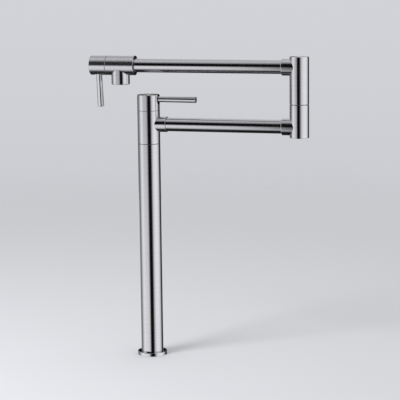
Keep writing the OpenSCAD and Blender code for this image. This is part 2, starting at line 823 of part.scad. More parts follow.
base_flange();
base_gasket();
column_tube();
mounting_shank();
inlet_connector();
inlet_seal();
riser_pipe();
riser_seals();
base_swivel_post();
base_swivel_seals();
base_retaining_ring();
base_thrust_washer();
mounting_nut();
steel_washer();
rubber_washer();
swivel_tee();
lower_arm_tube();
lower_arm_seals();
lower_elbow();
elbow_swivel_post();
elbow_swivel_seals();
elbow_retaining_ring();
elbow_thrust_washer();
main_valve_body();
main_valve_seal();
main_seat_seal();
main_fixed_disc();
main_handle_cap();
main_lever();
main_set_screw();
main_spindle();
main_turning_disc();
main_stem_seals();
main_spindle_clip();
upper_elbow();
upper_arm_tube();
upper_arm_seals();
spout_head();
spout_valve_body();
spout_valve_seal();
spout_seat_seal();
spout_fixed_disc();
aerator_housing();
aerator_insert();
aerator_seal();
spout_handle_cap();
spout_lever();
spout_set_screw();
spout_spindle();
spout_turning_disc();
spout_stem_seals();
spout_spindle_clip();
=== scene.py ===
"""Deck-mounted pot filler in brushed stainless steel: the visible pieces, their finishes and the studio."""
import math

import bmesh
import bpy
from mathutils import Matrix, Vector


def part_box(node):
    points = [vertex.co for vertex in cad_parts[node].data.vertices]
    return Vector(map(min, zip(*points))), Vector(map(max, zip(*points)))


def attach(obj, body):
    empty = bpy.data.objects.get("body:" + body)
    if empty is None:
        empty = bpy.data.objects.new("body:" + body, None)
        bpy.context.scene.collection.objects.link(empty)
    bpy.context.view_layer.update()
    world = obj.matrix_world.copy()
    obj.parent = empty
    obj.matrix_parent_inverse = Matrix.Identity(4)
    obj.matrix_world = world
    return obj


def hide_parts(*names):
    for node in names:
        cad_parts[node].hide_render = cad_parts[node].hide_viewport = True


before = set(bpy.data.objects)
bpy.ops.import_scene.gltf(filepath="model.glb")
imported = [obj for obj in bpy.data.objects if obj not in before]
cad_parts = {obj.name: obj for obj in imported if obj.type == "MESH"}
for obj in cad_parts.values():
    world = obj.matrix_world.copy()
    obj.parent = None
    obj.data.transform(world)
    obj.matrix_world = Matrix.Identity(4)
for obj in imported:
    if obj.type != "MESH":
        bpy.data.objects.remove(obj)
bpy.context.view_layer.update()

bl_info = {
    "name": "Pot Filler",
    "version": (1, 0, 0),
    "blender": (4, 5, 0),
    "location": "3D View > Sidebar > Pot Filler",
    "description": "Models the visible pieces of a double-jointed pot filler round its CAD frame",
    "category": "Object",
}

MM = 0.001
MERGE = 0.001 * MM


def span(node, axis):
    """Lowest and highest place of a CAD node along x, y or z, in metres, to a tenth of a millimetre."""
    low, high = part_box(node)
    at = "xyz".index(axis)
    return round(low[at], 4), round(high[at], 4)


def width(node, axis):
    """Size of a CAD node along x, y or z, in millimetres."""
    low, high = span(node, axis)
    return (high - low) / MM


def length(name, description, millimetres):
    """A size that the user may change, shown as a length."""
    return bpy.props.FloatProperty(
        name=name, description=description, default=millimetres * MM, min=0, unit="LENGTH", precision=4)


def colour(name, description, code):
    """A colour that the user may change, written as sRGB hex."""
    return bpy.props.FloatVectorProperty(
        name=name, description=description, default=linear(code)[:3], min=0, max=1, size=3, subtype="COLOR")


def linear(code):
    """Turns an sRGB hex colour into the linear RGBA that shader sockets take."""
    shares = [int(code[i:i + 2], 16) / 255 for i in (1, 3, 5)]
    return tuple(c / 12.92 if c <= 0.04045 else ((c + 0.055) / 1.055) ** 2.4 for c in shares) + (1.0,)


# Sizes and colours

class PotFillerSizes(bpy.types.PropertyGroup):
    """Sizes of the visible pieces. The defaults are those of the CAD frame."""
    column_d: length("Column diameter", "Diameter of the column, the tee and the main cap",
                     width("main_handle_cap", "x"))
    column_wall: length("Column wall", "Wall of the column tube", 2)
    flange_d: length("Flange diameter", "Diameter of the base flange", width("base_flange", "x"))
    flange_edge: length("Flange edge", "Rounding of the flange's upper rim", 1)
    branch_d: length("Branch diameter", "Diameter of the tee's branch", 31.2)
    elbow_d: length("Elbow diameter", "Diameter of both halves of the elbow", width("upper_elbow", "y"))
    socket_d: length("Socket diameter", "Diameter of the elbow's sockets", 33.6)
    socket_edge: length("Socket edge", "Rounding of the sockets' mouths", 1.2)
    arm_d: length("Arm diameter", "Outer diameter of the arm tubes", width("upper_arm_tube", "y"))
    arm_wall: length("Arm wall", "Wall of the arm tubes", 3.5)
    nose_d: length("Nose diameter", "Diameter of the threaded noses of the arm tubes", 23.6)
    nose_l: length("Nose length", "Length of those noses", 10)
    head_d: length("Head diameter", "Diameter of the spout head and its cap", width("spout_head", "y"))
    spout_d: length("Spout diameter", "Diameter of the spout", 36.7)
    lever_seat_d: length("Lever seat diameter", "Diameter of the flat that a lever stands on", 21)
    lever_root_d: length("Lever root diameter", "Diameter of a lever at its cap", 11.4)
    lever_tip_d: length("Lever tip diameter", "Diameter of a lever at its tip", 12.5)
    lever_edge: length("Lever edge", "Rounding of a lever's tip", 0.7)
    stud_d: length("Stud diameter", "Diameter of a lever's stud", 8)
    main_lever_reach: length("Main lever reach", "Reach of the main lever from the axis of its cap", 99.2)
    spout_lever_reach: length("Spout lever reach", "Reach of the spout lever from the axis of its cap", 84.5)
    spout_lever_lean: bpy.props.FloatProperty(
        name="Spout lever lean", description="How far the closed spout lever hangs behind the vertical",
        default=math.radians(6), min=0, unit="ROTATION")
    shank_d: length("Shank diameter", "Diameter of the threaded shank", 32)
    shank_pitch: length("Shank pitch", "Pitch of the shank's thread", 1.5)
    inlet_d: length("Inlet diameter", "Diameter of the threaded inlet", 20.96)
    inlet_pitch: length("Inlet pitch", "Pitch of the inlet's thread", 1.814)
    nut_af: length("Nut width", "Width of the mounting nut across its flats", 46)
    inlet_hex_af: length("Inlet hexagon width", "Width of the inlet's hexagon across its flats", 26)
    washer_edge: length("Washer edge", "Rounding of the washers below the deck", 0.4)
    end_edge: length("End edge", "Rounding of the other rims of the tee, elbow, arms and head", 0.6)
    cap_edge: length("Cap edge", "Rounding of the outer rim of the caps", 0.8)
    seam_edge: length("Seam edge", "Rounding of the rims at the seams", 0.3)
    head_seam_edge: length("Head seam edge", "Rounding of the rims at the seam of the spout head", 0.6)
    lip_edge: length("Lip edge", "Rounding of the spout's lower rim", 1.5)
    fit: length("Fit", "Radial clearance of a turning or screwed fit", 0.05)
    sides: bpy.props.IntProperty(
        name="Sides", description="Number of flats round a turned piece", default=144, min=24, max=512)


class PotFillerColours(bpy.types.PropertyGroup):
    """Colours of the finishes and of the floor."""
    steel: colour("Steel", "Brushed stainless steel", "#cbcbd0")
    steel_shade: colour("Steel shade", "Darker hairlines of the brushed steel", "#c1c1c6")
    plain_steel: colour("Plain steel", "Turned and stamped stainless steel", "#c9c9cc")
    plain_steel_shade: colour("Plain steel shade", "Duller patches of that steel", "#b4b4b8")
    brass: colour("Brass", "Turned brass", "#d9be7c")
    brass_shade: colour("Brass shade", "Duller patches of the brass", "#b7954f")
    copper: colour("Copper", "Drawn copper tube", "#d69472")
    copper_shade: colour("Copper shade", "Tarnish on the copper", "#a9654a")
    rubber: colour("Rubber", "Moulded rubber", "#242426")
    rubber_shade: colour("Rubber shade", "Darker grain of the rubber", "#161617")
    acetal: colour("Acetal", "Black acetal", "#2c2c2f")
    acetal_shade: colour("Acetal shade", "Tool rings in the acetal", "#1f1f22")
    alumina: colour("Alumina", "Lapped ceramic", "#f0ede4")
    alumina_shade: colour("Alumina shade", "Mottling of the ceramic", "#e2ded2")
    grille: colour("Grille", "Moulded plastic of the aerator", "#9a9ea5")
    grille_shade: colour("Grille shade", "Flow marks in that plastic", "#858990")
    floor: colour("Floor", "Painted studio floor", "#cdced2")


# Modelling

def clear_selection():
    """Leaves edit mode and deselects everything."""
    if bpy.context.object and bpy.context.object.mode != "OBJECT":
        bpy.ops.object.mode_set(mode="OBJECT")
    bpy.ops.object.select_all(action="DESELECT")


def choose(obj):
    """Selects one object alone and makes it the active one."""
    clear_selection()
    obj.select_set(True)
    bpy.context.view_layer.objects.active = obj


def select_rim(mesh, radius, height):
    """Selects the round edge at that radius and height, in edit mode."""
    shape = bmesh.from_edit_mesh(mesh)
    near = 1e-6

    def on_rim(vertex):
        across = math.hypot(vertex.co.x, vertex.co.y)
        return abs(across - radius) < near and abs(vertex.co.z - height) < near

    for edge in shape.edges:
        edge.select = all(on_rim(v) for v in edge.verts)
    shape.select_flush_mode()
    bmesh.update_edit_mesh(mesh)


def drawn(name, points):
    """Draws an open line point by point from one vertex, and leaves it in edit mode."""
    clear_selection()
    bpy.ops.mesh.primitive_plane_add(size=MM, location=points[0])
    obj = bpy.context.object
    obj.name = obj.data.name = name
    bpy.ops.object.transform_apply()
    bpy.ops.object.mode_set(mode="EDIT")
    bpy.ops.mesh.select_mode(type="VERT")
    bpy.ops.mesh.merge(type="CENTER")
    for start, end in zip(points, points[1:]):
        bpy.ops.mesh.extrude_region_move(TRANSFORM_OT_translate={"value": end - start})
    bpy.ops.mesh.select_all(action="SELECT")
    return obj


def merge_and_turn_out():
    """Merges doubles and turns the normals outwards, in edit mode."""
    bpy.ops.mesh.select_all(action="SELECT")
    bpy.ops.mesh.remove_doubles(threshold=MERGE)
    bpy.ops.mesh.normals_make_consistent(inside=False)


def turned(name, outline, place=Matrix(), sides=None):
    """A turned solid. Its half outline, a list of (radius, height) or (radius, height, rounding), is drawn
    and spun round the Z axis. It is closed by its first point, or by the axis."""
    sides = sides or bpy.context.scene.pot_filler_sizes.sides
    points = [Vector((p[0], 0, p[1])) for p in outline]
    if outline[0][0] > 0:
        points.append(points[0])
    obj = drawn(name, points)
    bpy.ops.mesh.spin(steps=sides, angle=2 * math.pi, center=(0, 0, 0), axis=(0, 0, 1))
    merge_and_turn_out()
    bpy.ops.mesh.select_mode(type="EDGE")
    for radius, height, rounding in (p for p in outline if len(p) == 3 and p[2] > 0):
        bpy.ops.mesh.select_all(action="DESELECT")
        select_rim(obj.data, radius, height)
        bpy.ops.mesh.bevel(offset=rounding, segments=3, profile=0.5, affect="EDGES")
    bpy.ops.object.mode_set(mode="OBJECT")
    obj.matrix_world = place
    bpy.ops.object.transform_apply()
    return obj


def rod(name, radius, start, end, place=Matrix(), start_edge=0, end_edge=0):
    """A round bar, to add or to cut out. The edges are the roundings of its two rims."""
    outline = [(0, start), (radius, start, start_edge), (radius, end, end_edge), (0, end)]
    return turned(name, outline, place)


def thread(name, crest, depth, pitch, low, high):
    """The ridge of a screw thread, wound up the Z axis. Its foot lies a little inside the core."""
    sunk = 0.1 * MM
    root = crest - depth
    crest_low, crest_high = low + 0.45 * pitch, low + 0.55 * pitch
    points = [Vector(p) for p in [(root - sunk, 0, low), (crest, 0, crest_low), (crest, 0, crest_high),
                                  (root - sunk, 0, low + pitch)]]
    obj = drawn(name, points + points[:1])
    bpy.ops.mesh.remove_doubles(threshold=MERGE)
    bpy.ops.object.mode_set(mode="OBJECT")
    bpy.ops.object.modifier_add(type="SCREW")
    winding = obj.modifiers[-1]
    winding.axis = "Z"
    winding.screw_offset = pitch
    winding.iterations = int((high - low) / pitch) - 1
    winding.steps = winding.render_steps = 72
    bpy.ops.object.modifier_apply(modifier=winding.name)
    bpy.ops.object.mode_set(mode="EDIT")
    merge_and_turn_out()
    bpy.ops.mesh.fill_holes(sides=len(points))
    bpy.ops.object.mode_set(mode="OBJECT")
    return obj


def hexagon(name, flats, low, high, material):
    """A hexagonal bar whose corners are turned off at both ends, with two corners on the X axis."""
    corner = flats / math.sqrt(3)
    face = 0.48 * flats
    slope = (corner - face) * math.tan(math.radians(30))
    clear_selection()
    bpy.ops.mesh.primitive_cylinder_add(vertices=6, radius=corner, depth=high - low,
                                        location=(0, 0, (low + high) / 2), rotation=(0, 0, math.pi / 6))
    obj = bpy.context.object
    obj.name = obj.data.name = name
    bpy.ops.object.transform_apply()
    rim = corner + MERGE
    blank = turned("blank", [(0, low), (face, low), (rim, low + slope), (rim, high - slope), (face, high),
                             (0, high)])
    combine(wear(obj, material), wear(blank, material), "INTERSECT")
    return obj


def join(obj, other):
    """Makes other a part of obj's mesh."""
    choose(obj)
    other.select_set(True)
    bpy.ops.object.join()
    return obj


def combine(obj, other, operation):
    """Joins another solid to obj, or cuts it out of obj, and removes the other solid."""
    choose(obj)
    bpy.ops.object.modifier_add(type="BOOLEAN")
    modifier = obj.modifiers[-1]
    modifier.operation = operation
    modifier.solver = "EXACT"
    modifier.material_mode = "TRANSFER"
    modifier.object = other
    bpy.ops.object.modifier_apply(modifier=modifier.name)
    if not obj.data.polygons:
        raise RuntimeError(f"{obj.name} came out empty")
    bpy.data.objects.remove(other)


def cut(obj, material, *tools):
    """Cuts each of the tools out of obj and gives the cut faces a material."""
    for tool in tools:
        combine(obj, wear(tool, material), "DIFFERENCE")


def true_normals(obj):
    """Gives each corner the normal of the turned surface that its face stands for: square to the axis on a
    barrel, along it on an end face, and between the two on a rounded rim. The axis is that of the face's
    brushed finish."""
    mesh = obj.data
    lathes = [LATHES[material.name] for material in mesh.materials]
    touched, kinds = {}, []
    for face in mesh.polygons:
        slope = abs(face.normal.dot(lathes[face.material_index][1]))
        kind = "barrel" if slope < 0.03 else "end" if slope > 0.999 else "rim"
        kinds.append(kind)
        for vertex in face.vertices:
            touched.setdefault(vertex, set()).add(kind)
    normals = [None] * len(mesh.loops)
    for face, kind in zip(mesh.polygons, kinds):
        origin, axis = lathes[face.material_index]
        for loop, vertex in zip(face.loop_indices, face.vertices):
            spoke = mesh.vertices[vertex].co - origin
            spoke -= axis * spoke.dot(axis)
            near = touched[vertex]
            if kind == "end" or spoke.length < MERGE:
                normal = face.normal
            elif kind == "barrel" or "barrel" in near:
                normal = spoke if face.normal.dot(spoke) > 0 else -spoke
            elif "end" in near:
                normal = axis if face.normal.dot(axis) > 0 else -axis
            else:
                normal = mesh.vertices[vertex].normal
            normals[loop] = normal.normalized()
    mesh.shade_smooth()
    mesh.normals_split_custom_set(normals)


def finish_piece(obj, body, nodes, slot="brushed_steel", turned_alone=True):
    """Shades a finished piece, ties it to its body and hides the CAD nodes that it stands for; slot is not
    used.
    A piece that has more than turned faces is smoothed by angle."""
    choose(obj)
    if turned_alone:
        true_normals(obj)
    else:
        bpy.ops.object.shade_smooth_by_angle(angle=math.radians(35))
    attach(obj, body)
    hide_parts(*nodes)


def facing(direction, at):
    """A place whose Z axis points along a direction."""
    turn = Vector(direction).to_track_quat("Z", "Y").to_matrix().to_4x4()
    return Matrix.Translation(at) @ turn


# Materials

def add(tree, kind, inputs=None, **settings):
    """Adds a node with its own settings. inputs gives its sockets a value or another node's output."""
    node = tree.nodes.new(kind)
    for key, value in settings.items():
        setattr(node, key, value)
    for key, value in (inputs or {}).items():
        if isinstance(value, bpy.types.NodeSocket):
            tree.links.new(value, node.inputs[key])
        else:
            node.inputs[key].default_value = value
    return node


def number(tree, operation, *inputs):
    """A number worked out from others."""
    return add(tree, "ShaderNodeMath", dict(enumerate(inputs)), operation=operation).outputs[0]


def vector(tree, operation, *inputs):
    """A vector worked out from others. A dot product or a length is a number."""
    made = add(tree, "ShaderNodeVectorMath", dict(enumerate(inputs)), operation=operation)
    return made.outputs["Value" if operation in ("DOT_PRODUCT", "LENGTH") else "Vector"]


def scaled(tree, way, factor):
    """A vector times a number."""
    return add(tree, "ShaderNodeVectorMath", {0: way, "Scale": factor}, operation="SCALE").outputs[0]


def graded(tree, share, stops):
    """Colours with a straight run from each stop, a place from 0 to 1 and a linear RGB, to the next."""
    made = add(tree, "ShaderNodeValToRGB", {0: share})
    line = made.color_ramp
    for place, shade in stops:
        line.elements.new(place).color = (*shade, 1)
    line.elements.remove(line.elements[0])
    line.elements.remove(line.elements[-1])
    return made.outputs[0]


def noise(tree, place, scale, detail, roughness=0.5):
    """A noise in space."""
    return add(tree, "ShaderNodeTexNoise", {
        "Vector": place, "Scale": scale, "Detail": detail, "Roughness": roughness}).outputs["Fac"]


def relief(tree, height, strength, depth):
    """The normals of a fine relief."""
    return add(tree, "ShaderNodeBump", {"Height": height, "Strength": strength, "Distance": depth}).outputs[0]


def between_shades(tree, amount, low, high, colour_name):
    """Runs from the dark shade of a finish to its light one while the amount runs from low to high."""
    colours = bpy.context.scene.pot_filler_colours
    dark, light = getattr(colours, f"{colour_name}_shade"), getattr(colours, colour_name)
    share = add(tree, "ShaderNodeMapRange", {"Value": amount, "From Min": low, "From Max": high})
    return add(tree, "ShaderNodeMix", {0: share.outputs[0], 6: (*dark, 1), 7: (*light, 1)},
               data_type="RGBA").outputs[2]


def between_levels(tree, amount, low, high):
    """Runs from low to high with the middle of a noise."""
    return add(tree, "ShaderNodeMapRange", {
        "Value": amount, "From Min": 0.3, "From Max": 0.7, "To Min": low, "To Max": high}).outputs[0]


def surface(tree, tint, metallic, roughness, normal, **more):
    """Ends a material with its one shader."""
    shader = add(tree, "ShaderNodeBsdfPrincipled", {
        "Base Color": tint, "Metallic": metallic, "Roughness": roughness, "Normal": normal, **more})
    add(tree, "ShaderNodeOutputMaterial", {"Surface": shader.outputs[0]})


def mixed_surface(tree, share, first, second):
    """Ends a material with a mix of two shaders."""
    mixed = add(tree, "ShaderNodeMixShader", {0: share, 1: first.outputs[0], 2: second.outputs[0]})
    add(tree, "ShaderNodeOutputMaterial", {"Surface": mixed.outputs[0]})


def new_material(name):
    """An empty node material and its tree."""
    material = bpy.data.materials.new(name)
    material.use_nodes = True
    material.node_tree.nodes.clear()
    return material, material.node_tree


def turning(tree, origin, axis):
    """Coordinates of a turned surface: the texture coordinates, the unit spoke from the axis, and the way of
    the tool, which is the place along the axis plus the distance from it."""
    coords = add(tree, "ShaderNodeTexCoord")
    offset = vector(tree, "SUBTRACT", coords.outputs["Object"], origin)
    height = vector(tree, "DOT_PRODUCT", offset, axis)
    spoke = vector(tree, "SUBTRACT", offset, scaled(tree, axis, height))
    travel = number(tree, "ADD", height, vector(tree, "LENGTH", spoke))
    return coords, vector(tree, "NORMALIZE", spoke), travel


def brushed_stainless(name, origin, axis, roughness=(0.1, 0.14)):
    """Stainless steel, brushed on a lathe round the axis: fine hairlines run round the surface and draw
    every reflection out along the axis, which keeps it crisp round the barrel."""
    material, tree = new_material(name)
    coords, unit, travel = turning(tree, origin, axis)
    # One hairline is 0.25 mm wide and some 15 mm long, drawn coarser than the real 0.1 mm so that it shows
    hair = 0.25 * MM
    grain = vector(tree, "ADD", scaled(tree, axis, travel), scaled(tree, unit, 1.2 * hair))
    fine, broad = noise(tree, grain, 1 / hair, 3.0, 0.65), noise(tree, grain, 0.12 / hair, 2.0)
    tint = between_shades(tree, number(tree, "MULTIPLY", fine, broad), 0.12, 0.38, "steel")
    round_way = vector(tree, "CROSS_PRODUCT", axis, unit)
    drawn_way = vector(tree, "CROSS_PRODUCT", coords.outputs["Normal"], round_way)
    tangent = add(tree, "ShaderNodeVectorTransform", {"Vector": drawn_way}, vector_type="VECTOR",
                  convert_from="OBJECT", convert_to="WORLD").outputs[0]
    surface(tree, tint, 1.0, between_levels(tree, fine, *roughness), relief(tree, fine, 0.05, 0.02 * MM),
            Anisotropic=0.9, Tangent=tangent)
    return material


def satin_stainless(name, origin, axis):
    """The same steel after a coarser belt, which blurs a reflection round the barrel too: spout head and
    its cap."""
    return brushed_stainless(name, origin, axis, (0.18, 0.22))


def turned_finish(name, origin, axis, colour_name, feed, roughness, metallic):
    """A surface straight from the lathe. The tool leaves fine rings at its feed, and the skin dulls in broad,
    faint patches."""
    material, tree = new_material(name)
    coords, _, travel = turning(tree, origin, axis)
    patch = 9 * MM
    rings = add(tree, "ShaderNodeTexNoise", {"W": travel, "Scale": 1 / feed, "Detail": 1.0},
                noise_dimensions="1D").outputs["Fac"]
    patches = noise(tree, coords.outputs["Object"], 1 / patch, 4.0, 0.6)
    mark = number(tree, "MULTIPLY_ADD", rings, 0.35, patches)
    surface(tree, between_shades(tree, mark, 0.4, 0.9, colour_name), metallic,
            between_levels(tree, patches, *roughness), relief(tree, rings, 0.25, 0.05 * feed))
    return material


def grained_finish(name, colour_name, grain, roughness, metallic=0.0, stretch=(1, 1, 1)):
    """A surface that a mould or a die leaves: fine grain over broad, faint patches. stretch thins the grain
    out along an axis."""
    material, tree = new_material(name)
    place = add(tree, "ShaderNodeTexCoord").outputs["Object"]
    patch = 12 * MM
    fine = noise(tree, vector(tree, "MULTIPLY", place, stretch), 1 / grain, 3.0, 0.6)
    mark = number(tree, "MULTIPLY_ADD", fine, 0.6, noise(tree, place, 1 / patch, 3.0))
    surface(tree, between_shades(tree, mark, 0.55, 1.05, colour_name), metallic,
            between_levels(tree, fine, *roughness), relief(tree, fine, 0.3, 0.1 * grain))
    return material


def plain_steel(name, origin, axis):
    """Stainless steel, punched or turned and then tumbled: washers, clips, set screws and the aerator."""
    return turned_finish(name, origin, axis, "plain_steel", feed=0.15 * MM, roughness=(0.24, 0.36),
                         metallic=1.0)


def turned_brass(name, origin, axis):
    """Free-cutting brass, turned and left bare: shank, nut, inlet, swivel posts and valve bodies."""
    return turned_finish(name, origin, axis, "brass", feed=0.2 * MM, roughness=(0.2, 0.38), metallic=1.0)


def acetal(name, origin, axis):
    """Black acetal, turned from bar: thrust washers and retaining rings."""
    return turned_finish(name, origin, axis, "acetal", feed=0.12 * MM, roughness=(0.35, 0.5), metallic=0.0)


def seal_rubber(name, origin, axis):
    """Nitrile rubber, moulded: near black and dull, with the fine grain of the mould."""
    return grained_finish(name, "rubber", grain=0.3 * MM, roughness=(0.55, 0.75))


def alumina(name, origin, axis):
    """Alumina, sintered and lapped flat: off-white, smooth and faintly mottled."""
    return grained_finish(name, "alumina", grain=0.2 * MM, roughness=(0.14, 0.22))


def copper(name, origin, axis):
    """Copper tube, drawn through a die: lines along the tube under light tarnish."""
    return grained_finish(name, "copper", grain=0.15 * MM, roughness=(0.25, 0.4), metallic=1.0,
                          stretch=(1, 1, 0.02))


def grille_plastic(name, origin, axis):
    """Acetal, moulded: the satin grey insert of the aerator."""
    return grained_finish(name, "grille", grain=0.25 * MM, roughness=(0.4, 0.5))


# Places of the axes

COLUMN = (0, 0, 0)
LOWER_ARM = (0, 0, sum(span("lower_arm_tube", "z")) / 2)
UPPER_ARM = (0, 0, sum(span("upper_arm_tube", "z")) / 2)
ELBOW = (sum(span("elbow_thrust_washer", "x")) / 2, 0, 0)
SPOUT = (sum(span("aerator_housing", "x")) / 2, 0, 0)
X, Y, Z = Vector((1, 0, 0)), Vector((0, 1, 0)), Vector((0, 0, 1))
KINDS = {kind.__name__: kind for kind in (brushed_stainless, satin_stainless, plain_steel, turned_brass,
                                          acetal, seal_rubber, alumina, copper, grille_plastic)}
FINISHES, LATHES = {}, {}


def finish(kind, place, axis):
    """The finish of one kind whose marks run round one axis. It is made once for each axis."""
    key = (kind, tuple(place), tuple(axis))
    if key not in FINISHES:
        made = KINDS[kind](f"{kind}_{len(FINISHES) + 1}", place, axis)
        FINISHES[key] = made
        LATHES[made.name] = Vector(place), Vector(axis)
    return FINISHES[key]


def steel(place, axis):
    """The brushed steel whose hairlines run round one axis."""
    return finish("brushed_stainless", place, axis)


def wear(obj, material):
    """Gives all of obj one material."""
    obj.data.materials.clear()
    obj.data.materials.append(material)
    return obj


# Pieces

class POTFILLER_OT_base(bpy.types.Operator):
    """Base flange and column tube"""
    bl_idname = "pot_filler.base"
    bl_label = "Base and Column"

    def execute(self, context):
        sizes = context.scene.pot_filler_sizes
        metal = steel(COLUMN, Z)
        low, high = span("base_flange", "z")
        foot, top = span("column_tube", "z")
        gasket_in, gasket_out, gasket_top = 24 * MM, 27.4 * MM, span("base_gasket", "z")[1]
        socket = sizes.column_d / 2 + sizes.fit
        through = 16.3 * MM
        flange = turned("base_flange_turned", [
            (through, low), (gasket_in - sizes.fit, low), (gasket_in - sizes.fit, gasket_top),
            (gasket_out + sizes.fit, gasket_top), (gasket_out + sizes.fit, low),
            (sizes.flange_d / 2, low, sizes.seam_edge), (sizes.flange_d / 2, high, sizes.flange_edge),
            (socket, high), (socket, foot), (through, foot)])
        finish_piece(wear(flange, metal), "base", ["base_flange"])
        outer, inner = sizes.column_d / 2, sizes.column_d / 2 - sizes.column_wall
        column = turned("column_tube_turned", [
            (inner, foot), (outer, foot), (outer, top, sizes.seam_edge), (inner, top)])
        finish_piece(wear(column, metal), "base", ["column_tube"])
        return {"FINISHED"}


def socket_outline(sizes, depth):
    """What an arm tube and its O-ring need open in a socket, from the mouth inwards."""
    seat, nose, way = sizes.arm_d / 2 + sizes.fit, sizes.nose_d / 2 + sizes.fit, 7 * MM
    covered, threaded = 8.6 * MM, 16.8 * MM
    return [(0, -MM), (seat, -MM), (seat, covered), (nose, covered), (nose, threaded), (way, threaded),
            (way, depth), (0, depth)]


def valve_outline(seat_depth):
    """What a ceramic valve needs open, from its seat outwards."""
    body, groove, collar = 10.5 * MM, 12.65 * MM, 15 * MM
    groove_low, groove_high = 28.5 * MM, 30.7 * MM
    return [(0, 0), (body, 0), (body, groove_low), (groove, groove_low), (groove, groove_high),
            (collar, groove_high), (collar, seat_depth + MM), (0, seat_depth + MM)]


def swivel_outline(journal, groove, start):
    """What a swivel post and its retaining ring need open, from the split upwards."""
    low, high, top = (start + height for height in (12.2 * MM, 14.2 * MM, 26.8 * MM))
    return [(0, start), (journal, start), (journal, low), (groove, low), (groove, high), (journal, high),
            (journal, top)]


class POTFILLER_OT_tee(bpy.types.Operator):
    """Swivel tee with its branch, its swivel bore and the pocket of the main valve"""
    bl_idname = "pot_filler.tee"
    bl_label = "Swivel Tee"

    def execute(self, context):
        sizes = context.scene.pot_filler_sizes
        low, high = span("swivel_tee", "z")
        mouth = span("swivel_tee", "x")[1]
        seat = span("main_seat_seal", "z")[0]
        way, washer, depth = 5 * MM, 0.8 * MM, 29 * MM
        metal, inward = steel(COLUMN, Z), facing(-X, (mouth, 0, LOWER_ARM[2]))
        tee = wear(rod("swivel_tee_turned", sizes.column_d / 2, low, high, start_edge=sizes.seam_edge,
                       end_edge=sizes.seam_edge), metal)
        branch = rod("branch", sizes.branch_d / 2, 0, mouth, inward, start_edge=sizes.end_edge)
        combine(tee, wear(branch, steel(LOWER_ARM, X)), "UNION")
        bore = swivel_outline(journal=15.05 * MM, groove=16.8 * MM, start=low - washer)
        swivel = turned("swivel", bore + [(way, bore[-1][1]), (way, seat + MM), (0, seat + MM)])
        pocket = turned("pocket", valve_outline(high - seat), facing(Z, (0, 0, seat)))
        cut(tee, metal, swivel, pocket)
        cut(tee, steel(LOWER_ARM, X), turned("socket", socket_outline(sizes, depth), inward))
        finish_piece(tee, "lower_arm", ["swivel_tee"])
        return {"FINISHED"}


class POTFILLER_OT_arm_tubes(bpy.types.Operator):
    """Lower and upper arm tubes"""
    bl_idname = "pot_filler.arm_tubes"
    bl_label = "Arm Tubes"

    def execute(self, context):
        sizes = context.scene.pot_filler_sizes
        edge = sizes.end_edge
        for node, body, axis in [("lower_arm_tube", "lower_arm", LOWER_ARM),
                                 ("upper_arm_tube", "upper_arm", UPPER_ARM)]:
            start, end = span(node, "x")
            full, bore = end - start, sizes.arm_d / 2 - sizes.arm_wall
            outer, nose = sizes.arm_d / 2, sizes.nose_d / 2
            tube = turned(f"{node}_drawn", [
                (bore, 0), (nose, 0, edge), (nose, sizes.nose_l), (outer, sizes.nose_l),
                (outer, full - sizes.nose_l), (nose, full - sizes.nose_l), (nose, full, edge),
                (bore, full)], facing(X, (start, 0, axis[2])))
            finish_piece(wear(tube, steel(axis, X)), body, [node])
        return {"FINISHED"}


class POTFILLER_OT_elbow(bpy.types.Operator):
    """Lower and upper halves of the elbow"""
    bl_idname = "pot_filler.elbow"
    bl_label = "Elbow"

    def execute(self, context):
        sizes = context.scene.pot_filler_sizes
        edge, metal, centre = sizes.end_edge, steel(ELBOW, Z), Matrix.Translation(ELBOW)
        mouth = span("lower_elbow", "x")[0]
        reach = ELBOW[0] - mouth
        way, end_wall, post, post_depth = 9 * MM, 5 * MM, 13.05 * MM, 22 * MM
        low, split = span("lower_elbow", "z")
        ground, roof = low + end_wall, span("upper_elbow", "z")[1] - end_wall
        bore = swivel_outline(journal=11.05 * MM, groove=12.8 * MM, start=split)
        hollows = {
            "lower_elbow": [(0, ground), (way, ground), (way, split - post_depth), (post, split - post_depth),
                            (post, split + MM), (0, split + MM)],
            "upper_elbow": bore + [(way, bore[-1][1]), (way, roof), (0, roof)]}
        for node, body, arm in [("lower_elbow", "lower_arm", LOWER_ARM),
                                ("upper_elbow", "upper_arm", UPPER_ARM)]:
            low, high = span(node, "z")
            half = wear(rod(f"{node}_turned", sizes.elbow_d / 2, low, high, centre, start_edge=edge,
                            end_edge=edge), metal)
            inward = facing(X, (mouth, 0, arm[2]))
            neck = rod("neck", sizes.socket_d / 2, 0, reach, inward, start_edge=sizes.socket_edge)
            combine(half, wear(neck, steel(arm, X)), "UNION")
            cut(half, metal, turned("hollow", hollows[node], centre))
            cut(half, steel(arm, X), turned("socket", socket_outline(sizes, reach), inward))
            finish_piece(half, body, [node])
        return {"FINISHED"}


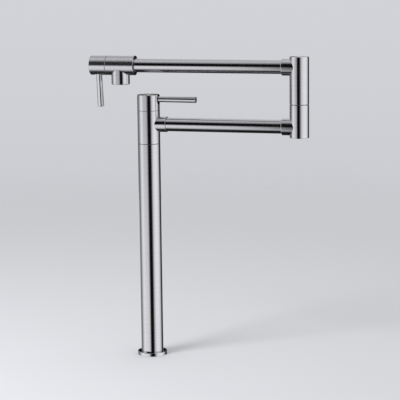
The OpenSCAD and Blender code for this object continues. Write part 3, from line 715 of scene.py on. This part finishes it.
class POTFILLER_OT_spout_head(bpy.types.Operator):
    """Spout head with its spout and the pocket of the spout valve"""
    bl_idname = "pot_filler.spout_head"
    bl_label = "Spout Head"

    def execute(self, context):
        sizes = context.scene.pot_filler_sizes
        end, mouth = span("spout_head", "x")
        seat = span("spout_seat_seal", "x")[1]
        lip, z = span("spout_head", "z")[0], UPPER_ARM[2]
        satin, inward = finish("satin_stainless", UPPER_ARM, X), facing(-X, (mouth, 0, z))
        head = wear(rod("spout_head_turned", sizes.head_d / 2, 0, mouth - end, inward,
                        start_edge=sizes.end_edge, end_edge=sizes.head_seam_edge), satin)
        upward = Matrix.Translation((SPOUT[0], 0, lip))
        spout = rod("spout", sizes.spout_d / 2, 0, z - lip, upward, start_edge=sizes.lip_edge)
        combine(head, wear(spout, steel(SPOUT, Z)), "UNION")
        arm_depth, way = 16.9 * MM, 5 * MM
        cut(head, satin, turned("arm_socket", socket_outline(sizes, arm_depth), inward),
            rod("way", way, 0, mouth - seat + MM, inward),
            turned("pocket", valve_outline(seat - end), facing(-X, (seat, 0, z))))
        screwed, thread_end, throat, throat_end = 12.05 * MM, 12.2 * MM, 8 * MM, 17.7 * MM
        drop, drop_foot, behind_seat = 4 * MM, lip + 14.95 * MM, 8 * MM
        cut(head, steel(SPOUT, Z),
            turned("throat", [(0, -MM), (screwed, -MM), (screwed, thread_end), (throat, thread_end),
                              (throat, throat_end), (0, throat_end)], upward),
            rod("port", drop, drop_foot, z - MM, Matrix.Translation((seat - behind_seat, 0, 0))))
        finish_piece(head, "upper_arm", ["spout_head"])
        return {"FINISHED"}


def along(place, node):
    """Nearest and farthest point of a CAD node along the Z axis of a place."""
    way = place.to_3x3() @ Z
    ends = [(Vector(corner) - place.translation).dot(way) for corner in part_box(node)]
    return round(min(ends), 4), round(max(ends), 4)


class POTFILLER_OT_handles(bpy.types.Operator):
    """Handle caps and their levers"""
    bl_idname = "pot_filler.handles"
    bl_label = "Handles"

    def execute(self, context):
        sizes = context.scene.pot_filler_sizes
        # Place of each valve's seat, with the outward way of the handle as Z and the lever along X
        main = Matrix.Translation((0, 0, span("main_seat_seal", "z")[0]))
        spout = (Matrix.Translation((span("spout_seat_seal", "x")[1], 0, UPPER_ARM[2]))
                 @ Matrix.Rotation(-math.pi / 2, 4, "Y")
                 @ Matrix.Rotation(math.pi - sizes.spout_lever_lean, 4, "Z"))
        for name, place, cap_d, reach, screw_side, kind, edge in [
                ("main", main, sizes.column_d, sizes.main_lever_reach, 1, "brushed_stainless",
                 sizes.seam_edge),
                ("spout", spout, sizes.head_d, sizes.spout_lever_reach, -1, "satin_stainless",
                 sizes.head_seam_edge)]:
            foot, end = along(place, f"{name}_handle_cap")
            level = sum(along(place, f"{name}_lever")) / 2
            skirt, seat_depth = 8 * MM, 0.15 * MM
            hub = foot + skirt
            flat = math.sqrt((cap_d / 2) ** 2 - (sizes.lever_seat_d / 2) ** 2) - seat_depth
            cap = wear(rod(f"{name}_handle_cap_turned", cap_d / 2, foot, end, start_edge=edge,
                           end_edge=sizes.cap_edge), steel(COLUMN, Z))
            lever_way = facing(X, (0, 0, level))
            collar, stem, stem_end, screw, screw_up = 13 * MM, 4.05 * MM, hub + 9.3 * MM, 2.55 * MM, 4.5 * MM
            stud_hole, stud_hole_foot, stud_foot = 4.05 * MM, 6.2 * MM, 6.5 * MM
            cut(cap, steel(COLUMN, Z),
                turned("hollow", [(0, foot - MM), (collar, foot - MM), (collar, hub), (stem, hub),
                                  (stem, stem_end), (0, stem_end)]),
                rod("seat", sizes.lever_seat_d / 2, flat, cap_d, lever_way),
                rod("stud_hole", stud_hole, stud_hole_foot, cap_d / 2, lever_way),
                rod("screw_hole", screw, 0, cap_d, facing(Y * screw_side, (0, 0, hub + screw_up))))
            lever = turned(f"{name}_lever_turned", [
                (0, stud_foot), (sizes.stud_d / 2, stud_foot), (sizes.stud_d / 2, flat + sizes.fit),
                (sizes.lever_root_d / 2, flat + sizes.fit, sizes.seam_edge),
                (sizes.lever_tip_d / 2, reach, sizes.lever_edge), (0, reach)], lever_way)
            for piece, node, made, up, axis in [(cap, f"{name}_handle_cap", kind, 0, Z),
                                                (lever, f"{name}_lever", "brushed_stainless", level, X)]:
                choose(piece)
                piece.matrix_world = place
                bpy.ops.object.transform_apply()
                wear(piece, finish(made, place @ Vector((0, 0, up)), place.to_3x3() @ axis))
                finish_piece(piece, f"{name}_handle", [node])
        return {"FINISHED"}


class POTFILLER_OT_clamp(bpy.types.Operator):
    """Threaded shank, nut and washers that clamp the deck, and the water inlet"""
    bl_idname = "pot_filler.clamp"
    bl_label = "Clamp and Inlet"

    def execute(self, context):
        sizes = context.scene.pot_filler_sizes
        brass = finish("turned_brass", COLUMN, Z)
        depth = 0.9 * MM
        low, high = span("mounting_shank", "z")
        seat, plug = span("column_tube", "z")[0], span("mounting_shank", "x")[1]
        bore, spigot, spigot_top = 7 * MM, 11 * MM, span("inlet_connector", "z")[1]
        crest, land = sizes.shank_d / 2, -1.5 * MM
        core = crest - depth
        shank = turned("mounting_shank_turned", [
            (bore, high), (bore, spigot_top + 0.3 * MM), (spigot + sizes.fit, spigot_top + 0.3 * MM),
            (spigot + sizes.fit, low), (core, low), (core, land), (crest, land + depth), (crest, seat),
            (plug, seat), (plug, high - MM), (plug - MM, high)])
        join(shank, thread("shank_thread", crest, depth, sizes.shank_pitch, low + 0.5 * MM, land))
        finish_piece(wear(shank, brass), "base", ["mounting_shank"], "turned_brass", False)

        foot, top = span("inlet_connector", "z")
        hex_low, hex_high = -69.2 * MM, -64.2 * MM
        crest = sizes.inlet_d / 2
        core = crest - depth
        riser, groove, way = 6.05 * MM, 8.2 * MM, 5 * MM
        groove_high, groove_low, riser_end = top - 3.9 * MM, top - 6.1 * MM, top - 10.3 * MM
        inlet = wear(turned("inlet_connector_turned", [
            (way, foot), (core, foot), (core, hex_low - 0.5 * MM), (spigot, hex_low + MM), (spigot, top),
            (riser, top), (riser, groove_high), (groove, groove_high), (groove, groove_low),
            (riser, groove_low), (riser, riser_end), (way, riser_end)]), brass)
        combine(inlet, hexagon("inlet_hexagon", sizes.inlet_hex_af, hex_low, hex_high, brass), "UNION")
        hollow_end = top - 3 * MM
        cut(inlet, brass, turned("hollow", [(0, foot), (way, foot), (way, riser_end), (riser, riser_end),
                                            (riser, hollow_end), (0, hollow_end)]))
        join(inlet, thread("inlet_thread", crest, depth, sizes.inlet_pitch, foot + 0.5 * MM, hex_low))
        finish_piece(wear(inlet, brass), "base", ["inlet_connector"], "turned_brass", False)

        low, high = span("mounting_nut", "z")
        nut = hexagon("mounting_nut_turned", sizes.nut_af, low, high, brass)
        bore = sizes.shank_d / 2 + sizes.fit
        cut(nut, brass, rod("hole", bore, low - MM, high + MM))
        finish_piece(nut, "base", ["mounting_nut"], "turned_brass", False)

        for node, kind in [("steel_washer", "plain_steel"), ("rubber_washer", "seal_rubber")]:
            low, high = span(node, "z")
            rim, bore, edge = span(node, "x")[1], sizes.shank_d / 2 + 0.3 * MM, sizes.washer_edge
            washer = turned(f"{node}_turned", [(bore, low), (rim, low, edge), (rim, high, edge),
                                               (bore, high)])
            finish_piece(wear(washer, finish(kind, COLUMN, Z)), "base", [node], kind)
        return {"FINISHED"}


class POTFILLER_OT_inner_finishes(bpy.types.Operator):
    """Finishes of the CAD nodes that stay: seals, washers, valves, swivel posts and the aerator"""
    bl_idname = "pot_filler.inner_finishes"
    bl_label = "Inner Finishes"

    def execute(self, context):
        axes = {"elbow": (ELBOW, Z), "aerator": (SPOUT, Z), "spout": (UPPER_ARM, X),
                "upper_arm": (UPPER_ARM, X), "lower_arm": (LOWER_ARM, X)}
        for name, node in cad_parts.items():
            if node.hide_render:
                continue
            kind = node.material_slots[0].material.name.split(".")[0]
            place, axis = next((axes[start] for start in axes if name.startswith(start)), (COLUMN, Z))
            node.material_slots[0].material = finish(kind, place, axis)
        return {"FINISHED"}


# Stage

class POTFILLER_OT_stage(bpy.types.Operator):
    """Pale floor, soft studio light and the camera"""
    bl_idname = "pot_filler.stage"
    bl_label = "Studio"

    def execute(self, context):
        context.scene.view_settings.view_transform = "Standard"
        camera_at_photo_angle(context)
        floor()
        studio_world(context.scene)
        cards()
        lamps()
        return {"FINISHED"}


CAMERA_AZIMUTH, CAMERA_ELEVATION, CAMERA_ROLL = (math.radians(d) for d in (16.282, 9.05, -0.664))
CAMERA_PLACE = Vector((1.003232, -3.075415, 0.831913))
CAMERA_LENS, SENSOR = 145.86, 36.0
STAGE_MIDDLE = Vector((0.105, 0, 0))


def stage_axes():
    """Level directions from the object towards the camera, and to the camera's right."""
    a = CAMERA_AZIMUTH
    return Vector((math.sin(a), -math.cos(a), 0)), Vector((math.cos(a), math.sin(a), 0))


def camera_axes():
    """Right, up and back of the camera."""
    toward, side = stage_axes()
    back = toward * math.cos(CAMERA_ELEVATION) + Z * math.sin(CAMERA_ELEVATION)
    rise = back.cross(side)
    tilt, upright = math.sin(CAMERA_ROLL), math.cos(CAMERA_ROLL)
    return upright * side + tilt * rise, upright * rise - tilt * side, back


def camera_at_photo_angle(context):
    """Puts the camera where the photograph was taken from."""
    data = bpy.data.cameras.new("camera")
    data.lens, data.sensor_width = CAMERA_LENS, SENSOR
    camera = bpy.data.objects.new("camera", data)
    context.scene.collection.objects.link(camera)
    camera.matrix_world = Matrix.Translation(CAMERA_PLACE) @ Matrix(camera_axes()).transposed().to_4x4()
    context.scene.camera = camera


def floor():
    """A pale floor that fades into the pale background."""
    clear_selection()
    bpy.ops.mesh.primitive_plane_add(size=12, location=(0, 0, 0))
    plane = bpy.context.object
    plane.name = "floor"
    material, tree = new_material("floor_paint")
    distance = vector(tree, "LENGTH", add(tree, "ShaderNodeTexCoord").outputs["Object"])
    fade_start, fade_end = 0.7, 3.0
    fade = add(tree, "ShaderNodeMapRange", {"Value": distance, "From Min": fade_start, "From Max": fade_end},
               interpolation_type="SMOOTHSTEP").outputs[0]
    # Seen from below the deck, the floor is clear
    below = add(tree, "ShaderNodeNewGeometry").outputs["Backfacing"]
    paint = add(tree, "ShaderNodeBsdfDiffuse", {"Color": (*bpy.context.scene.pot_filler_colours.floor, 1)})
    mixed_surface(tree, number(tree, "MAXIMUM", fade, below), paint, add(tree, "ShaderNodeBsdfTransparent"))
    plane.data.materials.append(material)
    plane.visible_glossy = False


def studio_world(scene):
    """Plain light all round. The camera sees a pale backdrop, and the metal sees the softboxes of a studio,
    with a dark gap in front of it that draws the stripe down a barrel."""
    world = bpy.data.worlds.new("studio")
    scene.world = world
    world.use_nodes = True
    tree = world.node_tree
    tree.nodes.clear()
    way = add(tree, "ShaderNodeTexCoord").outputs["Generated"]

    def angle(rise, run):
        """The angle of a slope as a share of the turn from -180 to 180 degrees."""
        turn = number(tree, "ARCTAN2", rise, run)
        return add(tree, "ShaderNodeMapRange", {
            "Value": turn, "From Min": -math.pi, "From Max": math.pi}).outputs[0]

    def ramp(share, stops, tint=(1, 1, 1)):
        """Levels of one tint by degrees."""
        return graded(tree, share, [((degrees + 180) / 360, [level * part for part in tint])
                                    for degrees, level in stops])

    def mix(share, first, second):
        return add(tree, "ShaderNodeMix", {0: share, 6: first, 7: second}, data_type="RGBA").outputs[2]

    def dot(direction):
        return vector(tree, "DOT_PRODUCT", way, direction)

    toward, side = stage_axes()
    bearing = angle(dot(side), dot(toward))
    rise = angle(dot(Z), vector(tree, "LENGTH", vector(tree, "MULTIPLY", way, (1, 1, 0))))
    ahead = ramp(rise, [(-88, 0.0), (-70, 0.01), (-64, 0.1), (-57, 0.36), (-50, 0.6), (-40, 0.82), (-22, 0.9),
                        (-12, 0.9), (-5, 0.6), (0, 0.3), (4, 0.04), (7, 0), (39, 0), (46, 0.16), (52, 0.36),
                        (65, 0.5), (80, 0.7), (88, 0.8)])
    beside = ramp(rise, [(-88, 0), (-72, 0.01), (-64, 0.06), (-56, 0.35), (-46, 0.8), (-38, 1), (25, 1),
                         (50, 0.9), (88, 0.8)])
    behind = ramp(rise, [(-88, 0.03), (-40, 0.02), (-25, 0.4), (-12, 0.9), (3, 0.9), (9, 1.3), (20, 0.9),
                         (55, 0.8), (88, 0.75)])
    round_about = ramp(bearing, [
        (-179, 0.95), (-160, 0.7), (-140, 0.26), (-116, 0.34), (-97, 0.97), (-83, 1.2), (-58, 1.29),
        (-46, 1.27), (-35, 1.24), (-20, 1.2), (20, 1.14), (40, 1.18), (60, 1.24), (73, 1.27), (86, 1.16),
        (102, 0.88), (113, 0.45), (124, 0.04), (152, 0.04), (165, 0.8), (179, 0.95)])
    front_share = ramp(bearing, [(-78, 0), (-55, 1), (-8, 1), (12, 0)])
    rear_share = ramp(bearing, [(-160, 1), (-130, 0), (110, 0), (140, 1)])
    # Overhead and underfoot the bearing has no meaning, so its share fades out there
    level_share = ramp(rise, [(-75, 0), (-50, 1), (50, 1), (75, 0)])
    boxes = mix(front_share, mix(rear_share, beside, behind), ahead)
    stripes = mix(level_share, (1, 1, 1, 1), round_about)
    studio = add(tree, "ShaderNodeMix", {0: 1.0, 6: boxes, 7: stripes}, data_type="RGBA",
                 blend_type="MULTIPLY").outputs[2]
    backdrop = ramp(rise, [(-30, 0.56), (-16, 0.58), (-9, 0.61), (-2, 0.66), (6, 0.62), (30, 0.5)],
                    (0.98, 0.99, 1.04))
    path, fill = add(tree, "ShaderNodeLightPath"), (0.85, 0.85, 0.85, 1)
    seen = mix(path.outputs["Is Camera Ray"], fill, backdrop)
    both = mix(path.outputs["Is Glossy Ray"], seen, studio)
    background = add(tree, "ShaderNodeBackground", {"Color": both, "Strength": 1.0})
    add(tree, "ShaderNodeOutputWorld", {"Surface": background.outputs[0]})


def card(name, distance, left, right, low, high, opacity):
    """A dark upright card that only reflections see, square to the camera's bearing. It stands at a distance
    in front of the object, or behind it if that is negative. opacity gives stops across its width."""
    toward, side = stage_axes()
    middle = STAGE_MIDDLE + distance * toward + side * (left + right) / 2
    clear_selection()
    bpy.ops.mesh.primitive_plane_add(size=1)
    made = bpy.context.object
    made.name = name
    upright = Matrix((side, Z, side.cross(Z))).transposed().to_4x4()
    made.matrix_world = (Matrix.Translation((middle.x, middle.y, (low + high) / 2)) @ upright
                         @ Matrix.Diagonal((right - left, high - low, 1, 1)))
    material, tree = new_material(name)
    offset = vector(tree, "DOT_PRODUCT", add(tree, "ShaderNodeTexCoord").outputs["Object"], X)
    across = add(tree, "ShaderNodeMapRange", {"Value": offset, "From Min": -0.5, "From Max": 0.5})
    veil = graded(tree, across.outputs[0], [((at - left) / (right - left), [share] * 3)
                                            for at, share in opacity])
    near_black = (0.003, 0.003, 0.003, 1)
    mixed_surface(tree, veil, add(tree, "ShaderNodeBsdfTransparent"),
                  add(tree, "ShaderNodeEmission", {"Color": near_black}))
    made.data.materials.append(material)
    made.visible_camera = made.visible_diffuse = made.visible_shadow = made.visible_transmission = False


def cards():
    """The dark strip that a barrel mirrors in front, and the dark gap low behind the object."""
    card("card_front", 0.83, -1.0, 0.9, -2.5, 3.6, [
        (-0.999, 0), (-0.7, 0), (-0.55, 0.05), (-0.45, 0.18), (-0.38, 0.34), (-0.28, 0.76), (-0.22, 1),
        (0.14, 1), (0.23, 0.88), (0.33, 0.58), (0.43, 0.36), (0.6, 0.14), (0.899, 0)])
    card("card_rear", -2.0, -1.4, 2.38, 0.0, 0.8, [(-1.399, 1), (0.3, 1), (0.42, 0), (0.9, 0), (1.02, 1),
                                                   (2.379, 1)])


def lamps():
    """One large soft lamp, high at the front left, for the shadow on the floor."""
    lamp = bpy.data.lights.new("softbox", "AREA")
    lamp.energy, lamp.shape, lamp.size, lamp.size_y = 25, "RECTANGLE", 0.8, 0.8
    light = bpy.data.objects.new("softbox", lamp)
    bpy.context.scene.collection.objects.link(light)
    place = (-0.9, -1.2, 1.6)
    light.matrix_world = facing(place, place)
    light.visible_glossy = False


class POTFILLER_PT_panel(bpy.types.Panel):
    """Lists the steps of the pot filler"""
    bl_idname = "POTFILLER_PT_panel"
    bl_label = "Pot Filler"
    bl_space_type = "VIEW_3D"
    bl_region_type = "UI"
    bl_category = "Pot Filler"

    def draw(self, context):
        for operator in STEPS:
            self.layout.operator(operator.bl_idname)


STEPS = (POTFILLER_OT_stage, POTFILLER_OT_base, POTFILLER_OT_tee, POTFILLER_OT_arm_tubes, POTFILLER_OT_elbow,
         POTFILLER_OT_spout_head, POTFILLER_OT_handles, POTFILLER_OT_clamp, POTFILLER_OT_inner_finishes)
CLASSES = (PotFillerSizes, PotFillerColours, *STEPS, POTFILLER_PT_panel)


def register():
    for each in CLASSES:
        bpy.utils.register_class(each)
    bpy.types.Scene.pot_filler_sizes = bpy.props.PointerProperty(type=PotFillerSizes)
    bpy.types.Scene.pot_filler_colours = bpy.props.PointerProperty(type=PotFillerColours)


def unregister():
    del bpy.types.Scene.pot_filler_colours
    del bpy.types.Scene.pot_filler_sizes
    for each in reversed(CLASSES):
        bpy.utils.unregister_class(each)


def main():
    register()
    for step in STEPS:
        group, name = step.bl_idname.split(".")
        getattr(getattr(bpy.ops, group), name)()
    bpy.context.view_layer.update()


if __name__ == "__main__":
    main()
